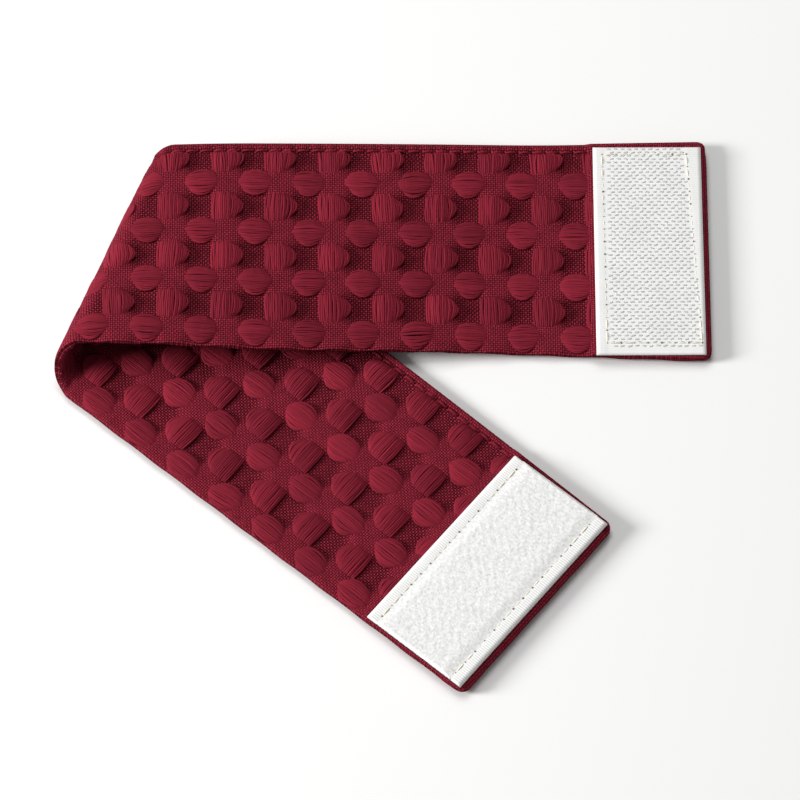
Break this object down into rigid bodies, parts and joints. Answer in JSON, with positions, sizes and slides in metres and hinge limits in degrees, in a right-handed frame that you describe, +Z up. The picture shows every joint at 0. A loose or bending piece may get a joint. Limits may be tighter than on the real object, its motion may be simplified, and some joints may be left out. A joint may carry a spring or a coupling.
{
  "type": "curtain tie-back",
  "caption": "Waffle-weave fabric strap folded over once, with hook tape on one end and loop tape on the other, for holding a curtain back.",
  "frame": {"origin": "centre of the bounding box on the surface that the tie-back lies on", "axes": "+X along the upper arm towards the hook tape, +Y towards the seamed long edge of the upper arm, +Z up from the surface"},
  "size_m": [0.1498, 0.1394, 0.0139],
  "materials": {
    "waffle_cloth": "crimson waffle weave of matt and slightly silky yarn",
    "hook_tape": "white woven nylon tape with small plastic hooks, slightly glossy",
    "loop_tape": "white woven nylon tape with a brushed loop pile, matt"
  },
  "bodies": {
    "root": {"strap_band": "waffle_cloth", "hook_patch": "hook_tape", "loop_patch": "loop_tape"}
  },
  "joints": []
}
